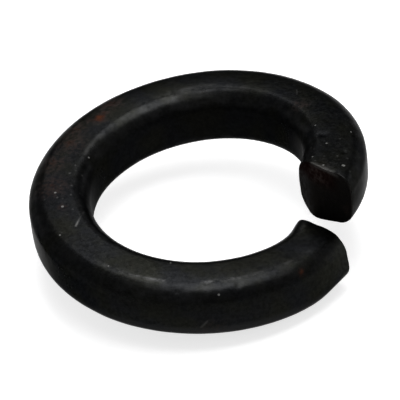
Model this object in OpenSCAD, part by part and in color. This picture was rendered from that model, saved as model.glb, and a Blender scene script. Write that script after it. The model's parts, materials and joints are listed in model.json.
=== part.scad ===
/* [Bolt] */
// Diameter of the hole that the bolt passes through
bore_d = 12.2; // [11.6:0.1:13.4]

/* [Wire section] */
// Width of the square wire, from the hole to the outside
wire_w = 3.5; // [3.2:0.1:4]
// Height of the square wire, along the bolt
wire_h = 3.5; // [3.2:0.1:4]
// Radius of the rolled corners on the outside of the ring
outer_corner_r = 1.1; // [0.6:0.05:1.5]
// Radius of the rolled corners beside the hole
inner_corner_r = 1.15; // [0.6:0.05:1.5]

/* [Coil] */
// Height of the whole unloaded turn, of which the slot takes a trace at each end
free_height = 7.2; // [6.4:0.1:8.4]
// Width of the slot between the two ends
slot_w = 0.6; // [0.5:0.1:1.5]
// Angle between the cut and a radius, seen from above
cut_skew = 15; // [0:1:20]

/* [Fineness] */
// Rings of points along the turn
rings = 120; // [60:12:144]
// Steps around each rounded corner
corner_steps = 6; // [3:1:6]

/* [Hidden] */
bore_r = bore_d / 2;
mid_r = bore_r + wire_w / 2;
// how much higher the rising end lies than the other end
rise = free_height - wire_h;
// the swept wire reaches this far into the hole, so that the bore cuts its wall true
bore_stock = 0.04;
// the swept ends stand this far apart inside the slot, which then cuts both of them flat
raw_gap = slot_w / 2;
in_x = -wire_w / 2 - bore_stock;
out_x = wire_w / 2;
half_h = wire_h / 2;
oil_black = [0.09, 0.09, 0.1];

// Quarter circle about [x, z], counter-clockwise from the angle start
function corner(x, z, r, start) =
    [for (k = [0 : corner_steps])
        let (a = start + 90 * k / corner_steps)
        [x + r * cos(a), z + r * sin(a)]];

// The wire's section: x is outwards from its middle, z is up
section = concat(
    corner(out_x - outer_corner_r, outer_corner_r - half_h, outer_corner_r, -90),
    corner(out_x - outer_corner_r, half_h - outer_corner_r, outer_corner_r, 0),
    corner(in_x + inner_corner_r, half_h - inner_corner_r, inner_corner_r, 90),
    corner(in_x + inner_corner_r, inner_corner_r - half_h, inner_corner_r, 180));
sides = len(section);

// How far, in degrees, the skewed cut lies past +X at a distance x from the wire's middle
function cut_turn(x) = -atan(tan(cut_skew) * x / (mid_r + x));

// Half of the angle left open between the swept ends
raw_turn = raw_gap / 2 / mid_r * 180 / PI;

// A section point carried along the turn, from 0 at the high end to 1 at the low end
function coil_point(p, along) =
    let (a = cut_turn(p[0]) + raw_turn + (360 - 2 * raw_turn) * along,
         r = mid_r + p[0])
    [r * cos(a), r * sin(a), p[1] + rise * (0.5 - a / 360)];

// One left-hand turn of the rolled wire, with closed ends
module coil() {
    points = [for (i = [0 : rings]) for (p = section) coil_point(p, i / rings)];
    skin = [for (i = [0 : rings - 1]) for (j = [0 : sides - 1])
        let (next = (j + 1) % sides)
        [i * sides + j, i * sides + next, (i + 1) * sides + next, (i + 1) * sides + j]];
    high_end = [for (j = [0 : sides - 1]) sides - 1 - j];
    low_end = [for (j = [0 : sides - 1]) rings * sides + j];
    polyhedron(points, concat(skin, [high_end, low_end]), convexity = 6);
}

// The straight slot that parts the turn, square to the washer's face and skewed from the radius
module slot() {
    reach = 2 * wire_w;
    translate([mid_r, 0, 0])
        rotate([0, 0, -cut_skew])
            cube([reach, slot_w, 2 * free_height], center = true);
}

module washer() {
    color(oil_black)
        difference() {
            coil();
            cylinder(r = bore_r, h = 2 * free_height, center = true, $fn = 180);
            slot();
        }
}

washer();
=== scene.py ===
import json
import math
import bpy
from mathutils import Euler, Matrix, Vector


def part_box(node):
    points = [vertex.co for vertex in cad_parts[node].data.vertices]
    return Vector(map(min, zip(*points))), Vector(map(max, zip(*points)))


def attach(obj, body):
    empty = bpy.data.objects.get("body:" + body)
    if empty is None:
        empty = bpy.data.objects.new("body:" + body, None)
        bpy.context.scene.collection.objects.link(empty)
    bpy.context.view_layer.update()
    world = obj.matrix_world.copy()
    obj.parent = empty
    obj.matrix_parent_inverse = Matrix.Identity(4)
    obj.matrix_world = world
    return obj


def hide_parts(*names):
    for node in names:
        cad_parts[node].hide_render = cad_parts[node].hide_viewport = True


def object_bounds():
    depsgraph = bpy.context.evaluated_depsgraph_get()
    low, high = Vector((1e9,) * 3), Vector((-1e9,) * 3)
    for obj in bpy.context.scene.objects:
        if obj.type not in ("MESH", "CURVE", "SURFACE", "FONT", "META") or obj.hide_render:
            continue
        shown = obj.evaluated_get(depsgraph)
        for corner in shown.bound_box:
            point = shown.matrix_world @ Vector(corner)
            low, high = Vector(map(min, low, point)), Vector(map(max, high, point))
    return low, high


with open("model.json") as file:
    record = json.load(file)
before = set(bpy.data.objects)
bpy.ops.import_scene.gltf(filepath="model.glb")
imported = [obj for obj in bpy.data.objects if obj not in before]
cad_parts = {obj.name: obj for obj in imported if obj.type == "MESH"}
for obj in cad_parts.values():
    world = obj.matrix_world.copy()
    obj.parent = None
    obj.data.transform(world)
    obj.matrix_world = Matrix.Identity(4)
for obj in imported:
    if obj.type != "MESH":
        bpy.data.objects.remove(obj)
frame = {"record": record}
cadBox = [list(corner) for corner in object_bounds()]
mm = 0.001
print("frame loaded")


def feed(tree, socket, value):  # a plain number is set on the socket, anything else is linked to it
    value = getattr(value, "socket", value)
    if isinstance(value, bpy.types.NodeSocket):
        tree.links.new(value, socket)
    else:
        socket.default_value = value


def addNode(tree, kind, inputs=None, **settings):
    made = tree.nodes.new(kind)
    for name, setting in settings.items():
        setattr(made, name, setting)
    for key, value in (inputs or {}).items():
        feed(tree, made.inputs[key], value)
    return made


class Value:  # one number of a node tree, so that a formula reads as a sum
    def __init__(self, tree, socket):
        self.tree = tree
        self.socket = socket

    def using(self, operation, *others):
        made = addNode(self.tree, "ShaderNodeMath", operation=operation)
        for socket, value in zip(made.inputs, (self, *others)):
            feed(self.tree, socket, value)
        return Value(self.tree, made.outputs[0])

    def __add__(self, other):
        return self.using("ADD", other)

    def __radd__(self, other):
        return self.using("ADD", other)

    def __sub__(self, other):
        return self.using("SUBTRACT", other)

    def __rsub__(self, other):
        return (self * -1).using("ADD", other)

    def __mul__(self, other):
        return self.using("MULTIPLY", other)

    def __truediv__(self, other):
        return self.using("DIVIDE", other)

    def __pow__(self, other):
        return self.using("POWER", other)

    def sin(self):
        return self.using("SINE")

    def cos(self):
        return self.using("COSINE")

    def asin(self):
        return self.using("ARCSINE")

    def absolute(self):
        return self.using("ABSOLUTE")

    def atMost(self, other):
        return self.using("MINIMUM", other)

    def atLeast(self, other):
        return self.using("MAXIMUM", other)

    def between(self, low, high):
        return self.atLeast(low).atMost(high)

    def bell(self):  # 1 at zero, fading to nothing by about 2 on either side
        return (self * self * -1).using("EXPONENT")


def rampUp(value, low, high):  # 0 below low, 1 above high, smooth between
    made = addNode(value.tree, "ShaderNodeMapRange", {
        "Value": value, "From Min": low, "From Max": high}, interpolation_type="SMOOTHSTEP")
    return Value(value.tree, made.outputs["Result"])


def noise(tree, place, scale, detail=3.0, roughness=0.5):
    made = addNode(tree, "ShaderNodeTexNoise", {
        "Vector": place, "Scale": scale, "Detail": detail, "Roughness": roughness})
    return Value(tree, made.outputs[0])


def vectorMath(tree, operation, first, second):
    return addNode(tree, "ShaderNodeVectorMath", {0: first, 1: second}, operation=operation).outputs


def lengthened(tree, vector, share):  # a vector times one number
    made = addNode(tree, "ShaderNodeVectorMath", {0: vector, "Scale": share}, operation="SCALE")
    return made.outputs[0]


def apart(tree, first, second):
    return Value(tree, vectorMath(tree, "DISTANCE", first, second)["Value"])


def xyz(tree, vector):
    split = addNode(tree, "ShaderNodeSeparateXYZ", {0: vector})
    return [Value(tree, split.outputs[axis]) for axis in "XYZ"]


holeMount = next(m for m in frame["record"]["mounts"] if m["name"] == "bolt_hole")
holeRadius = holeMount["dims"]["r_mm"] * mm
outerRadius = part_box("washer")[1][0]

washer = {
    "Hole Radius": holeRadius,
    "Wire Width": outerRadius - holeRadius,
    "Wire Height": 3.5 * mm,
    "Outer Corner": 0.92 * mm,
    "Inner Corner": 0.98 * mm,
    "Barrel": 0.035,  # share of the width that the walls lose towards top and bottom
    "Crown": 0.08,  # share of the height that the top and bottom lose towards the sides
    "Keystone": 0.05,  # share of the height gained beside the hole and lost outside, from coiling
    "Rise": 3.7 * mm,  # over one full turn
    "Slot Width": 0.6 * mm,
    "Cut Skew": math.radians(15),
    "Edge Round": 0.09 * mm,  # where a cut face meets the rolled skin
    "Unevenness": 0.035 * mm,  # slow waves left by rolling and coiling
    "Scale Grain": 0.010 * mm,  # fine roughness of the baked skin
    "Shear Tear": 0.05 * mm,  # ragged steps on the cut faces
    "Low End Drift": 0.08 * mm,  # how far the low end is sprung in towards the hole
    "Shear Roll": 0.30 * mm,  # how far the shear drew back the high end's edge beside the hole
    "Turn Rows": 560,
    "End Rows": 26,
    "Section Rows": 132,
    "Seed": 7,
}
midRadius = washer["Hole Radius"] + washer["Wire Width"] / 2
driftReach = 9.4  # mm of wire that the low end's drift runs back over

# where the shear blade spread or crushed the wire's corners at the two ends: the corner's place on the
# section and the size of the change in mm, its share of the section and its reach along the wire in mm
endShapes = [
    {"end": "low", "corner": (-1.45, 1.45), "size": 0.60, "swell": 0.10, "reach": 1.3},
    {"end": "low", "corner": (0.40, 1.70), "size": 0.90, "swell": 0.07, "reach": 1.5},
    {"end": "low", "corner": (1.75, -0.30), "size": 0.60, "swell": 0.06, "reach": 1.5},
    {"end": "low", "corner": (1.50, -1.40), "size": 0.75, "swell": -0.15, "reach": 1.5},
    {"end": "high", "corner": (1.35, 1.35), "size": 0.60, "swell": 0.13, "reach": 1.2},
    {"end": "high", "corner": (-0.80, -1.60), "size": 1.10, "swell": 0.16, "reach": 1.6},
    {"end": "high", "corner": (-1.75, 0.20), "size": 0.90, "swell": 0.06, "reach": 1.3},
    {"end": "high", "corner": (1.75, 0.30), "size": 1.20, "swell": 0.09, "reach": 3.2},
]

# dents and pits, each with its place on the wire, its size and its depth in mm; a place is the degrees
# round from the slot, then the mm outwards and the mm up from the wire's middle
marks = [
    {"at": (2.4, 0.25, 1.78), "size": 0.22, "depth": 0.04},  # the top edge rolled over by the shear
    {"at": (1.4, 0.75, 1.76), "size": 0.20, "depth": 0.04},
    {"at": (299.5, 0.85, 1.73), "size": 0.16, "depth": 0.05},
    {"at": (310.5, 1.10, 1.67), "size": 0.20, "depth": 0.045},
    {"at": (289, 1.28, 1.57), "size": 0.15, "depth": 0.035},
    {"at": (16, 0.70, 1.75), "size": 0.18, "depth": 0.05},
    {"at": (6, 1.10, 1.67), "size": 0.14, "depth": 0.06},
    {"at": (113, -0.70, 1.74), "size": 0.22, "depth": 0.04},
    {"at": (126, -0.85, 1.72), "size": 0.34, "depth": 0.03},
    {"at": (29, -0.6, 1.74), "size": 0.25, "depth": 0.06},
    {"at": (270, 1.75, 0.2), "size": 0.35, "depth": 0.06},
    {"at": (200, 1.7, -0.5), "size": 0.3, "depth": 0.06},
    {"at": (95, 1.75, 0.4), "size": 0.28, "depth": 0.06},
    {"at": (40, 1.6, -0.9), "size": 0.35, "depth": 0.07},
]

# rust, each with its place, its spread in mm and how strong it is
rustSpots = [
    {"at": (160.5, 0.05, 1.75), "size": 0.50, "strength": 0.95},
    {"at": (157.5, 0.15, 1.75), "size": 0.45, "strength": 0.70},
    {"at": (163.5, 0.30, 1.75), "size": 0.45, "strength": 0.60},
    {"at": (152, 0.6, 1.75), "size": 0.9, "strength": 0.58},
    {"at": (171, 0.7, 1.75), "size": 0.9, "strength": 0.58},
    {"at": (179, 0.3, 1.75), "size": 1.1, "strength": 0.56},
    {"at": (192, 0.6, 1.75), "size": 1.0, "strength": 0.56},
    {"at": (206, 0.4, 1.75), "size": 1.1, "strength": 0.54},
    {"at": (219.7, -0.1, 1.75), "size": 0.35, "strength": 0.55},
    {"at": (58, -0.7, 1.74), "size": 0.7, "strength": 0.45},
    {"at": (333.5, 1.44, 1.44), "size": 0.3, "strength": 0.75},
    {"at": (2, -0.3, 1.1), "size": 0.9, "strength": 0.50},
    {"at": (1, 1.6, -0.6), "size": 0.6, "strength": 0.40},
    {"at": (300, 1.6, -1.2), "size": 1.1, "strength": 0.3},
    {"at": (75, 1.7, -0.6), "size": 0.9, "strength": 0.5},
    {"at": (240, 0.2, -1.75), "size": 1.0, "strength": 0.5},
    {"at": (60, 0.1, -1.75), "size": 1.2, "strength": 0.4},
]
crustDepth = 0.05 * mm  # how far rust stands up from the steel


def spotOn(turn, across, up):
    angle = math.radians(turn)
    radius = midRadius + across * mm
    side = across * mm / (washer["Wire Width"] / 2)
    up = up * (1 - washer["Crown"] * side * side - washer["Keystone"] * side)
    height = up * mm + washer["Rise"] * (0.5 - turn / 360)
    return Vector((radius * math.cos(angle), radius * math.sin(angle), height))


def nearness(tree, place, spot):  # a soft round patch about a spot on the wire
    return (apart(tree, place, spotOn(*spot["at"])) / (spot["size"] * mm)).bell()


def keep(tree, geometry, name, value):  # stores one number at every point, for later nodes and the finish
    made = addNode(tree, "GeometryNodeStoreNamedAttribute", {
        "Geometry": geometry, "Name": name, "Value": value}, data_type="FLOAT", domain="POINT")
    return made.outputs["Geometry"]


def kept(tree, name):
    made = addNode(tree, "GeometryNodeInputNamedAttribute", {"Name": name}, data_type="FLOAT")
    return Value(tree, made.outputs["Attribute"])


def rolledSection(tree, size, place, factor):  # a rectangle with its own corner radius on either side
    rectangle = addNode(tree, "GeometryNodeCurvePrimitiveQuadrilateral", {
        "Width": size["Wire Width"], "Height": size["Wire Height"]})
    outside = addNode(tree, "FunctionNodeCompare", {0: xyz(tree, place)[0], 1: 0.0},
                      data_type="FLOAT", operation="GREATER_THAN")
    corner = addNode(tree, "GeometryNodeSwitch", {
        "Switch": outside.outputs[0], "False": size["Inner Corner"], "True": size["Outer Corner"]},
        input_type="FLOAT")
    rounded = addNode(tree, "GeometryNodeFilletCurve", {
        "Curve": rectangle.outputs[0], "Radius": corner.outputs[0], "Count": 24}, mode="POLY")
    found = addNode(tree, "GeometryNodeSampleCurve", {
        "Curves": rounded.outputs[0], "Factor": factor}, mode="FACTOR")
    return xyz(tree, found.outputs["Position"])[:2]


def walkOut(size, rowFromEnd):
    # from the middle of a cut face out to its rim, over the small round, and onto the side
    half, edge = size["Wire Width"] / 2, size["Edge Round"]
    step = 1 - (1 - (rowFromEnd / size["End Rows"]).between(0, 1)) ** 1.8  # rows crowd towards the rim
    walked = step * (half - edge + edge * (math.pi / 2))
    flat = walked.atMost(half - edge)
    bend = ((walked - flat) / edge).between(0, math.pi / 2)
    shrink = (flat + edge * bend.sin()) / half
    setBack = edge * (1 - bend.cos())
    return step, shrink, setBack


def bulged(size, across, up):  # what rolling and coiling did to the square wire
    half = size["Wire Width"] / 2
    side, rise = across / half, up / half
    return (across * (1 - size["Barrel"] * rise * rise),
            up * (1 - size["Crown"] * side * side - size["Keystone"] * side))


def swollen(across, up, fromEnd):  # what the shear did to the corners
    swell = 1
    for shape in endShapes:
        overX, overZ = across / mm - shape["corner"][0], up / mm - shape["corner"][1]
        close = (overX * overX + overZ * overZ) / (shape["size"] ** 2)
        away = fromEnd[shape["end"]].atLeast(0) / shape["reach"]
        swell = swell + ((close + away * away) * -1).using("EXPONENT") * shape["swell"]
    return across * swell, up * swell


def cutAngle(size, across, radius, setBack, along):
    # both cut faces are flat, parallel and skewed from the radius
    lean = (size["Wire Width"] / 2 + size["Hole Radius"]) * size["Cut Skew"].sin()
    back = size["Slot Width"] / 2 + setBack
    besideHole = rampUp(across / (size["Wire Width"] / 2) * -1, 0.30, 1.10) ** 1.3
    rolled = back + size["Shear Roll"] * besideHole
    highEnd = ((lean + rolled) / radius).asin() - size["Cut Skew"]
    lowEnd = ((lean - back) / radius).asin() - size["Cut Skew"] + 2 * math.pi
    return highEnd + (lowEnd - highEnd) * along


def roughened(tree, size, skin, place):  # everything that lifts or sinks the skin along its normal
    shifted = vectorMath(tree, "ADD", lengthened(tree, place, 1 / mm), size["Seed"])[0]
    lift = (noise(tree, shifted, 0.28, 2.0) - 0.5) * size["Unevenness"] * 2
    lift = lift + (noise(tree, shifted, 2.2, 4.0, 0.6) - 0.5) * size["Scale Grain"] * 2
    drawnOut = vectorMath(tree, "MULTIPLY", shifted, (1.0, 1.0, 0.35))[0]  # tears run the way the blade went
    torn = noise(tree, drawnOut, 1.6, 5.0, 0.65)
    lift = lift + (torn - 0.5) * size["Shear Tear"] * 2 * kept(tree, "cutFace")
    for mark in marks:
        lift = lift - nearness(tree, place, mark) * (mark["depth"] * mm)

    patches = [nearness(tree, place, spot) * spot["strength"] for spot in rustSpots]
    rust = patches[0]
    for patch in patches[1:]:
        rust = rust.atLeast(patch)
    skin = keep(tree, skin, "rust", rust)
    crust = noise(tree, shifted, 3.5, 5.0, 0.7)
    lift = lift + rampUp(rust * (crust + 0.5), 0.35, 0.8) * (crust - 0.35) * crustDepth
    offset = lengthened(tree, tree.nodes.new("GeometryNodeInputNormal").outputs[0], lift)
    return addNode(tree, "GeometryNodeSetPosition", {"Geometry": skin, "Offset": offset}).outputs[0]


def coiledWire():
    # a grid whose rows run round the wire's section and along the turn, drawn in to a point on each cut face
    tree = bpy.data.node_groups.new("coiledWire", "GeometryNodeTree")
    for name, amount in washer.items():
        kind = "NodeSocketInt" if isinstance(amount, int) else "NodeSocketFloat"
        tree.interface.new_socket(name, in_out="INPUT", socket_type=kind)
    tree.interface.new_socket("Finish", in_out="INPUT", socket_type="NodeSocketMaterial")
    tree.interface.new_socket("Geometry", in_out="OUTPUT", socket_type="NodeSocketGeometry")
    given = tree.nodes.new("NodeGroupInput")
    size = {name: Value(tree, given.outputs[name]) for name in washer}
    middle = size["Hole Radius"] + size["Wire Width"] / 2
    allRows = size["Turn Rows"] + size["End Rows"] * 2
    grid = addNode(tree, "GeometryNodeMeshGrid", {
        "Size X": 1.0, "Size Y": 1.0, "Vertices X": allRows + 1, "Vertices Y": size["Section Rows"] + 1})
    place = tree.nodes.new("GeometryNodeInputPosition").outputs[0]
    gridX, gridY = xyz(tree, place)[:2]
    row = ((gridX + 0.5) * allRows).using("ROUND")
    turned = (row - size["End Rows"]) / size["Turn Rows"]

    step, shrink, setBack = walkOut(size, row.atMost(allRows - row))
    across, up = rolledSection(tree, size, place, gridY + 0.5)
    across, up = bulged(size, across * shrink, up * shrink)
    wireLength = middle * (2 * math.pi) / mm
    fromEnd = {"high": turned * wireLength, "low": wireLength - turned * wireLength}
    across, up = swollen(across, up, fromEnd)
    sprung = (1 - fromEnd["low"] / driftReach).atLeast(0) ** 2
    radius = middle + across - size["Low End Drift"] * sprung
    angle = cutAngle(size, across, radius, setBack, turned.between(0, 1))
    height = up + size["Rise"] * (0.5 - angle / (2 * math.pi))

    skin = grid.outputs["Mesh"]
    cutFace = 1 - rampUp(step, 0.93, 1.0)
    for name, value in (("across", across), ("up", up), ("turn", angle), ("cutFace", cutFace)):
        skin = keep(tree, skin, name, value)
    spot = addNode(tree, "ShaderNodeCombineXYZ", {
        "X": radius * angle.cos(), "Y": radius * angle.sin(), "Z": height}).outputs[0]
    for kind, inputs in (("GeometryNodeSetPosition", {"Position": spot}),
                         ("GeometryNodeMergeByDistance", {"Distance": 0.0004 * mm}),
                         ("GeometryNodeSetShadeSmooth", {"Shade Smooth": True})):
        skin = addNode(tree, kind, {"Geometry": skin, **inputs}).outputs[0]
    skin = roughened(tree, size, skin, place)
    skin = addNode(tree, "GeometryNodeRealizeInstances", {"Geometry": skin}).outputs[0]
    skin = addNode(tree, "GeometryNodeSetMaterial", {
        "Geometry": skin, "Material": given.outputs["Finish"]}).outputs[0]
    feed(tree, tree.nodes.new("NodeGroupOutput").inputs[0], skin)
    return tree


def grow(name, tree, sizes, finish):  # runs a geometry tree on an empty mesh and keeps a plain mesh of it
    holder = bpy.data.objects.new(name + "Maker", bpy.data.meshes.new(name + "Maker"))
    bpy.context.collection.objects.link(holder)
    modifier = holder.modifiers.new("nodes", "NODES")
    modifier.node_group = tree
    given = {**sizes, "Finish": finish}
    for item in tree.interface.items_tree:
        if item.in_out == "INPUT":
            modifier[item.identifier] = given[item.name]
    seen = holder.evaluated_get(bpy.context.evaluated_depsgraph_get())
    mesh = bpy.data.meshes.new_from_object(seen)
    bpy.data.objects.remove(holder)
    mesh.name = name
    piece = bpy.data.objects.new(name, mesh)
    bpy.context.collection.objects.link(piece)
    return piece


steelLook = {
    "blueBlack": (0.0080, 0.0084, 0.0092, 1),
    "oliveBlack": (0.0086, 0.0088, 0.0074, 1),
    # also laid on the lower outer rim as a painted reflection of the floor
    "rubbed": (0.019, 0.0192, 0.0196, 1),
    "wornAndHighlight": (0.045, 0.045, 0.046, 1),
    "cut": (0.0074, 0.0068, 0.0064, 1),
    "brownStain": (0.0110, 0.0052, 0.0038, 1),
    "shearStain": (0.0062, 0.0030, 0.0026, 1),
    "rust": (0.046, 0.0125, 0.0045, 1),
    "dustAndGlint": (0.12, 0.12, 0.115, 1),
    "grazing": (0.46, 0.46, 0.46, 1),
    "satin": 0.33,
    "rustRoughness": 0.85,
    "grainMottle": 0.44,  # how much the coarse grain changes the shade
    "fleckMottle": 0.26,
    "paintedShadeDepth": 0.45,
    "bumpDepth": 0.02 * mm,
}

# parts of the skin that look different: the middle and the spread, in degrees round from the slot and in
# mm outwards and up from the wire's middle
skinZones = {
    # painted shade in the next three zones
    "holeBackShade": {"turn": (109, 49)},
    "frontShadeBand": {"turn": (286, 43), "up": (0.7, 0.75)},
    "leftEdgeShade": {"turn": (198, 32), "across": (-1.1, 0.45)},
    # painted reflection in the next two zones
    "lowEndWallReflection": {"turn": (355, 14)},
    "highEndWallReflection": {"turn": (63, 23)},
    # worn metal with a painted highlight in the next two zones
    "frontRidgeWearAndHighlight": {"turn": (292, 40), "across": (0.69, 0.11)},
    "backPatchWearAndHighlight": {"turn": (112, 23), "across": (-0.72, 0.24)},
    "leftGrit": {"turn": (203, 34)},
    "highEndGrit": {"turn": (14, 26)},
}

# pale specks of grit and lint on the skin, with their radius in mm
specks = [
    {"at": (21.5, -0.35, 1.75), "size": 0.060},
    {"at": (4.6, -0.05, 1.76), "size": 0.065},
    {"at": (6.5, 1.02, 1.80), "size": 0.110},
    {"at": (10, -0.90, 1.74), "size": 0.050},
    {"at": (30, 1.02, 1.72), "size": 0.050},
    {"at": (261, 0.65, 1.75), "size": 0.050},
    {"at": (210, 0.13, 1.75), "size": 0.075},
    {"at": (219.5, -0.11, 1.75), "size": 0.085},
    {"at": (234.5, 0.82, 1.75), "size": 0.060},
    {"at": (184.5, -1.24, 1.56), "size": 0.070},
    {"at": (303, 1.44, 1.44), "size": 0.070},
    {"at": (38, -0.82, 1.73), "size": 0.050},
    {"at": (284, -0.82, 1.73), "size": 0.050},
    {"at": (24, 1.3, 1.5), "size": 0.045},
    {"at": (9, -0.9, 1.7), "size": 0.050},
]

# pale streaks from one place on the wire to another, with their width in mm: the first is a painted
# highlight along the high end's top edge, the rest are scratches through to paler metal
paleStreaks = [
    # a painted highlight along the high end's top edge
    {"from": (5.2, -0.85, 1.76), "to": (0.7, 1.15, 1.70), "width": 0.11, "strength": 0.30},
    {"from": (234, -0.19, 1.75), "to": (225.3, -1.14, 1.61), "width": 0.055, "strength": 0.9},
    {"from": (298.5, 1.75, -0.2), "to": (295.5, 1.72, -0.8), "width": 0.06, "strength": 0.10},
    {"from": (150, 1.70, 0.3), "to": (146, 1.74, 0.0), "width": 0.05, "strength": 0.5},
    {"from": (70, 0.3, 1.75), "to": (66, -0.2, 1.75), "width": 0.04, "strength": 0.15},
]


def mixColour(tree, factor, first, second, blend="MIX"):
    made = addNode(tree, "ShaderNodeMix", {0: factor, 6: first, 7: second},
                   data_type="RGBA", blend_type=blend)
    return made.outputs[2]


def newMaterial(name):
    material = bpy.data.materials.new(name)
    material.use_nodes = True
    tree = material.node_tree
    return material, tree, tree.nodes["Principled BSDF"]


class SkinPoint:  # what the finish knows about a point of the skin
    def __init__(self, tree):
        self.tree = tree
        self.place = tree.nodes.new("ShaderNodeTexCoord").outputs["Object"]
        self.inMm = lengthened(tree, self.place, 1 / mm)
        self.across = self.stored("across") / mm
        self.up = self.stored("up") / mm
        self.turn = self.stored("turn") * (180 / math.pi)
        self.cutFace = self.stored("cutFace")
        self.rust = self.stored("rust")
        self.grain = self.noise(4.5, 5.0, 0.65)
        self.fleck = self.noise(11.0, 2.0, 0.6)
        self.rolled = 1 - self.cutFace
        self.wall = 1 - rampUp(self.up.absolute(), 1.0, 1.7)  # 0 on the top and bottom faces
        self.onTop = rampUp(self.up, 1.2, 1.6) * self.rolled

    def stored(self, name):
        made = addNode(self.tree, "ShaderNodeAttribute", attribute_name=name)
        return Value(self.tree, made.outputs["Fac"])

    def noise(self, scale, detail, roughness):
        return noise(self.tree, self.inMm, scale, detail, roughness)

    def zone(self, name):  # 1 in the middle of a zone, fading outwards
        share = 1
        for axis, (middle, spread) in skinZones[name].items():
            share = ((getattr(self, axis) - middle) / spread).bell() * share
        return share

    def painted(self, colour, share, look):  # a share of one of the steel's colours laid over a colour
        return mixColour(self.tree, share, colour, steelLook[look])


def blackened(skin):  # the baked skin, with painted shade on the hole's back wall, on the front's outer wall, on the left's inner edge and on all walls, and painted reflection paling the outer walls near both ends
    cloud = skin.noise(0.45, 4.0, 0.6).between(0.3, 0.7)
    colour = mixColour(skin.tree, rampUp(cloud, 0.35, 0.65), steelLook["blueBlack"], steelLook["oliveBlack"])
    mottle = rampUp(skin.grain, 0.38, 0.62) * steelLook["grainMottle"]
    mottle = mottle + rampUp(skin.fleck, 0.38, 0.62) * steelLook["fleckMottle"]
    # painted shade: darker on the back of the hole's wall, in a band on the front's outer wall and on the
    # left's inner edge
    paintedShade = rampUp(skin.across * -1, 1.0, 1.7) * skin.zone("holeBackShade")
    paintedShade = paintedShade.atLeast(skin.zone("frontShadeBand") * rampUp(skin.across, 1.0, 1.5) * 0.70)
    paintedShade = paintedShade.atLeast(skin.zone("leftEdgeShade") * rampUp(skin.up, 0.6, 1.2))
    # painted reflection: the outer walls paler at the low end and about 63 degrees round from the slot
    paintedEndReflection = (skin.zone("lowEndWallReflection") + skin.zone("highEndWallReflection") * 0.6) * rampUp(skin.across, 1.2, 1.6)
    # painted shade: the walls 30% darker than the top and bottom faces
    shade = (0.44 + mottle + cloud * 0.44) * (1 - skin.wall * 0.30)
    shade = shade * (1 - paintedShade * steelLook["paintedShadeDepth"]) * (1 + paintedEndReflection)
    grey = addNode(skin.tree, "ShaderNodeCombineColor", {"Red": shade, "Green": shade, "Blue": shade})
    return mixColour(skin.tree, 1.0, colour, grey.outputs[0], "MULTIPLY")


def rubbedCorners(skin):  # where the wire touches others, in broken patches
    corner = rampUp((skin.across * skin.up).absolute(), 1.0, 1.9) * rampUp(skin.up.absolute(), 0.85, 1.25)
    return corner * skin.rolled * rampUp(skin.noise(1.3, 5.0, 0.7), 0.30, 0.75)


def wearAndPaintedLight(skin, colour, rubbed):
    # painted reflection of the floor: the lower outer rim gets the rubbed colour too
    paintedFloorReflection = rampUp(skin.up * -1, 0.5, 1.2) * rampUp(skin.across, 1.0, 1.5) * skin.rolled
    colour = skin.painted(colour, (rubbed * 0.65 + paintedFloorReflection).atMost(1), "rubbed")
    # worn metal with a painted highlight: a thin bright line where the flat top turns down outside, and
    # patches where it turns down to the hole
    ridge = skin.zone("frontRidgeWearAndHighlight") + skin.zone("backPatchWearAndHighlight") * 0.75
    wornAndHighlight = ridge * skin.onTop * rampUp(skin.noise(0.9, 5.0, 0.75), 0.42, 0.62)
    return skin.painted(colour, wornAndHighlight.atMost(1) * 0.75, "wornAndHighlight")


def shearedFaces(skin, colour):  # duller than the skin, brown from the shear's oil and paler low down beside the hole
    colour = skin.painted(colour, skin.cutFace, "cut")
    stain = skin.cutFace * rampUp(skin.up, 0.1, 1.0) * rampUp(skin.across * -1, -1.3, -0.4)
    colour = skin.painted(colour, stain * 0.9, "shearStain")
    paleLowBesideHole = skin.cutFace * rampUp(skin.across * -1, 0.6, 1.6) * (1 - rampUp(skin.up, 0.4, 1.2))
    return skin.painted(colour, paleLowBesideHole * rampUp(skin.grain, 0.35, 0.6) * 0.38, "wornAndHighlight")


def rustBloom(skin):  # brown stain around the rust
    return rampUp(skin.rust * (0.30 + rampUp(skin.grain, 0.38, 0.62) * 1.2), 0.08, 0.75)


def rustScab(skin):  # rust itself, where the noise breaks through
    return rampUp(skin.rust * (0.25 + skin.noise(3.2, 6.0, 0.75) * 1.5), 0.50, 1.0)


def streakMask(skin, streak):  # how near a point lies to the straight line of a streak
    tree = skin.tree
    start, end = spotOn(*streak["from"]), spotOn(*streak["to"])
    reach = end - start
    offset = vectorMath(tree, "SUBTRACT", skin.place, start)[0]
    dot = vectorMath(tree, "DOT_PRODUCT", offset, reach / reach.length_squared)["Value"]
    step = Value(tree, dot).between(0, 1)
    gap = apart(tree, offset, lengthened(tree, reach, step))
    taper = (step * (1 - step) * 4).using("SQRT")
    return (gap / (streak["width"] * mm)).bell() * taper * streak["strength"]


def scattered(skin, scale, core, rim, common, rare):  # round grains, kept where their random number is high
    strewn = addNode(skin.tree, "ShaderNodeTexVoronoi", {"Vector": skin.inMm, "Scale": scale}, feature="F1")
    picked = addNode(skin.tree, "ShaderNodeSeparateColor", {0: strewn.outputs["Color"]})
    grain = 1 - rampUp(Value(skin.tree, strewn.outputs["Distance"]), core, rim)
    return grain * rampUp(Value(skin.tree, picked.outputs[0]), common, rare)


def gritMask(skin):
    grit = scattered(skin, 1.1, 0.03, 0.06, 0.90, 0.98) * 0.5
    for speck in specks:
        away = apart(skin.tree, skin.place, spotOn(*speck["at"])) / (speck["size"] * mm)
        grit = 1 - rampUp(away, 0.6, 1.2) + grit
    # finer grit has gathered on the left of the ring and beside the high end
    gathered = (skin.zone("leftGrit") + skin.zone("highEndGrit")) * skin.onTop
    return (grit + scattered(skin, 3.2, 0.10, 0.30, 0.55, 0.95) * gathered * 0.22).atMost(1)


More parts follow.
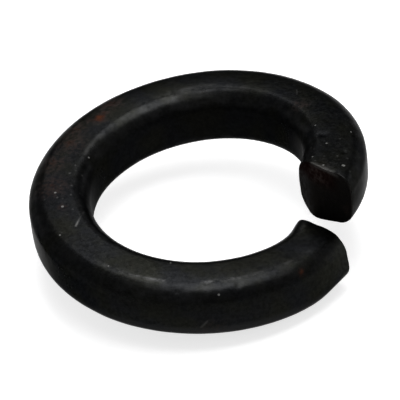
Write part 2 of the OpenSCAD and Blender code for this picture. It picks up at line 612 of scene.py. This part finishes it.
def blackSteel():
    material, tree, surface = newMaterial("oiledBlackSteel")
    skin = SkinPoint(tree)
    rubbed, bloom, scab, grit = rubbedCorners(skin), rustBloom(skin), rustScab(skin), gritMask(skin)
    streaked = 0
    for streak in paleStreaks:
        streaked = streakMask(skin, streak) + streaked
    colour = shearedFaces(skin, wearAndPaintedLight(skin, blackened(skin), rubbed))
    colour = skin.painted(skin.painted(colour, bloom * 0.7, "brownStain"), scab, "rust")
    # scratches, and a painted highlight along the high end's top edge
    colour = skin.painted(colour, (streaked * (0.6 + skin.grain)).atMost(1), "dustAndGlint")
    colour = skin.painted(colour, grit * 0.8, "dustAndGlint")

    gloss = steelLook["satin"] + (skin.grain - 0.5) * 0.16 + skin.cutFace * 0.2 + skin.wall * 0.06
    holeWall = rampUp(skin.across * -1, 1.0, 1.6) * skin.wall * skin.rolled
    gloss = gloss + holeWall * 0.14  # the hole is the dullest
    gloss = gloss + (steelLook["rustRoughness"] - gloss) * scab
    relief = (skin.grain * 0.7 + skin.fleck * 0.3) * (1 + skin.cutFace * 1.5)
    bump = addNode(tree, "ShaderNodeBump", {
        "Height": relief, "Strength": 0.35, "Distance": steelLook["bumpDepth"]})
    for name, value in (("Base Color", colour),
                        ("Metallic", 1 - scab.atLeast(bloom * 0.5).atLeast(grit)),
                        ("Specular Tint", steelLook["grazing"]),
                        ("Specular IOR Level", 0.10),
                        ("Roughness", gloss - rubbed * 0.06),
                        ("Normal", bump.outputs[0])):
        feed(tree, surface.inputs[name], value)
    return material


def plainFloor():
    material, tree, surface = newMaterial("paleFloor")
    for name, value in (("Base Color", (0.60, 0.60, 0.60, 1)),
                        ("Roughness", 0.9),
                        ("Specular IOR Level", 0.1),
                        ("Emission Color", (1, 1, 1, 1)),
                        ("Emission Strength", 0.70)):  # a glowing light table keeps the shadow faint
        feed(tree, surface.inputs[name], value)
    return material


view = {
    "azimuth": 30.5,
    "elevation": 36.4,
    "roll": -7.14,
    "distance": 24 * outerRadius,
    "framing": 2.3474,  # how many outer radii fit across the picture
    "aimRight": 0.006,  # of the outer radius
    "aimUp": -0.023,
}

# the studio lamps: angles in degrees, with the azimuth counted from the camera's so that 180 is behind the
# washer, and sizes and distances in metres
softboxes = [
    {"name": "overhead", "azimuth": 140, "elevation": 77.5, "distance": 0.0865,
     "width": 0.050, "length": 0.088, "radiance": 5.6, "spin": 60},
    {"name": "overLeft", "azimuth": 331, "elevation": 73.6, "distance": 0.0886,
     "width": 0.028, "length": 0.028, "radiance": 2.6},
    {"name": "behind", "azimuth": 186, "elevation": 38, "distance": 0.24,
     "width": 0.085, "length": 0.034, "radiance": 5.8},
    {"name": "behindRight", "azimuth": 158, "elevation": 26, "distance": 0.24,
     "width": 0.060, "length": 0.080, "radiance": 0.8},
    {"name": "backdropLeft", "azimuth": 222, "elevation": 8, "distance": 0.30,
     "width": 0.20, "length": 0.08, "radiance": 1.0},
    {"name": "backdropRight", "azimuth": 112, "elevation": 10, "distance": 0.30,
     "width": 0.30, "length": 0.10, "radiance": 1.2},
    {"name": "frontFill", "azimuth": -30, "elevation": 32, "distance": 0.25,
     "width": 0.24, "length": 0.24, "radiance": 0.22},
]
studioAir = {"colour": (0.78, 0.78, 0.79, 1), "strength": 0.45}


def aimed(elevation, azimuth, spin=0):  # looks at the middle from that side, spun about the line of sight
    facing = Euler((math.radians(90 - elevation), 0, math.radians(azimuth))).to_matrix()
    return facing @ Euler((0, 0, math.radians(spin))).to_matrix()


def placeCamera():
    turned = aimed(view["elevation"], view["azimuth"], view["roll"])
    right, upward, back = turned.col[0], turned.col[1], turned.col[2]
    target = (right * view["aimRight"] + upward * view["aimUp"]) * outerRadius
    lens = bpy.data.cameras.new("camera")
    lens.lens = lens.sensor_width * view["distance"] / outerRadius / view["framing"]
    lens.clip_start = 0.005
    camera = bpy.data.objects.new("camera", lens)
    camera.matrix_world = turned.to_4x4()
    camera.location = target + back * view["distance"]
    bpy.context.collection.objects.link(camera)
    bpy.context.scene.camera = camera


def addSoftbox(name, azimuth, elevation, distance, width, length, radiance, spin=0):
    light = bpy.data.lights.new(name, "AREA")
    light.shape = "RECTANGLE"
    light.size = width
    light.size_y = length
    light.energy = radiance * math.pi * width * length
    lamp = bpy.data.objects.new(name, light)
    turned = aimed(elevation, view["azimuth"] + azimuth, spin)
    lamp.matrix_world = turned.to_4x4()
    lamp.location = turned.col[2] * distance
    bpy.context.collection.objects.link(lamp)


def addFloor():
    reach = 60 * outerRadius
    low = cadBox[0][2]
    corners = [(-reach, -reach, low), (reach, -reach, low), (reach, reach, low), (-reach, reach, low)]
    mesh = bpy.data.meshes.new("floor")
    mesh.from_pydata(corners, [], [(0, 1, 2, 3)])
    mesh.materials.append(plainFloor())
    floor = bpy.data.objects.new("floor", mesh)
    bpy.context.collection.objects.link(floor)


def fillStudio():
    world = bpy.data.worlds.new("studio")
    world.use_nodes = True
    background = world.node_tree.nodes["Background"]
    background.inputs["Color"].default_value = studioAir["colour"]
    background.inputs["Strength"].default_value = studioAir["strength"]
    bpy.context.scene.world = world
    bpy.context.scene.view_settings.view_transform = "Standard"


placeCamera()
addFloor()
for softbox in softboxes:
    addSoftbox(**softbox)
fillStudio()
print("camera, floor and lights placed")

skin = grow("springWasher", coiledWire(), washer, blackSteel())
print("washer skin:", len(skin.data.polygons), "faces")
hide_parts("washer")
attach(skin, "root")

print("done")
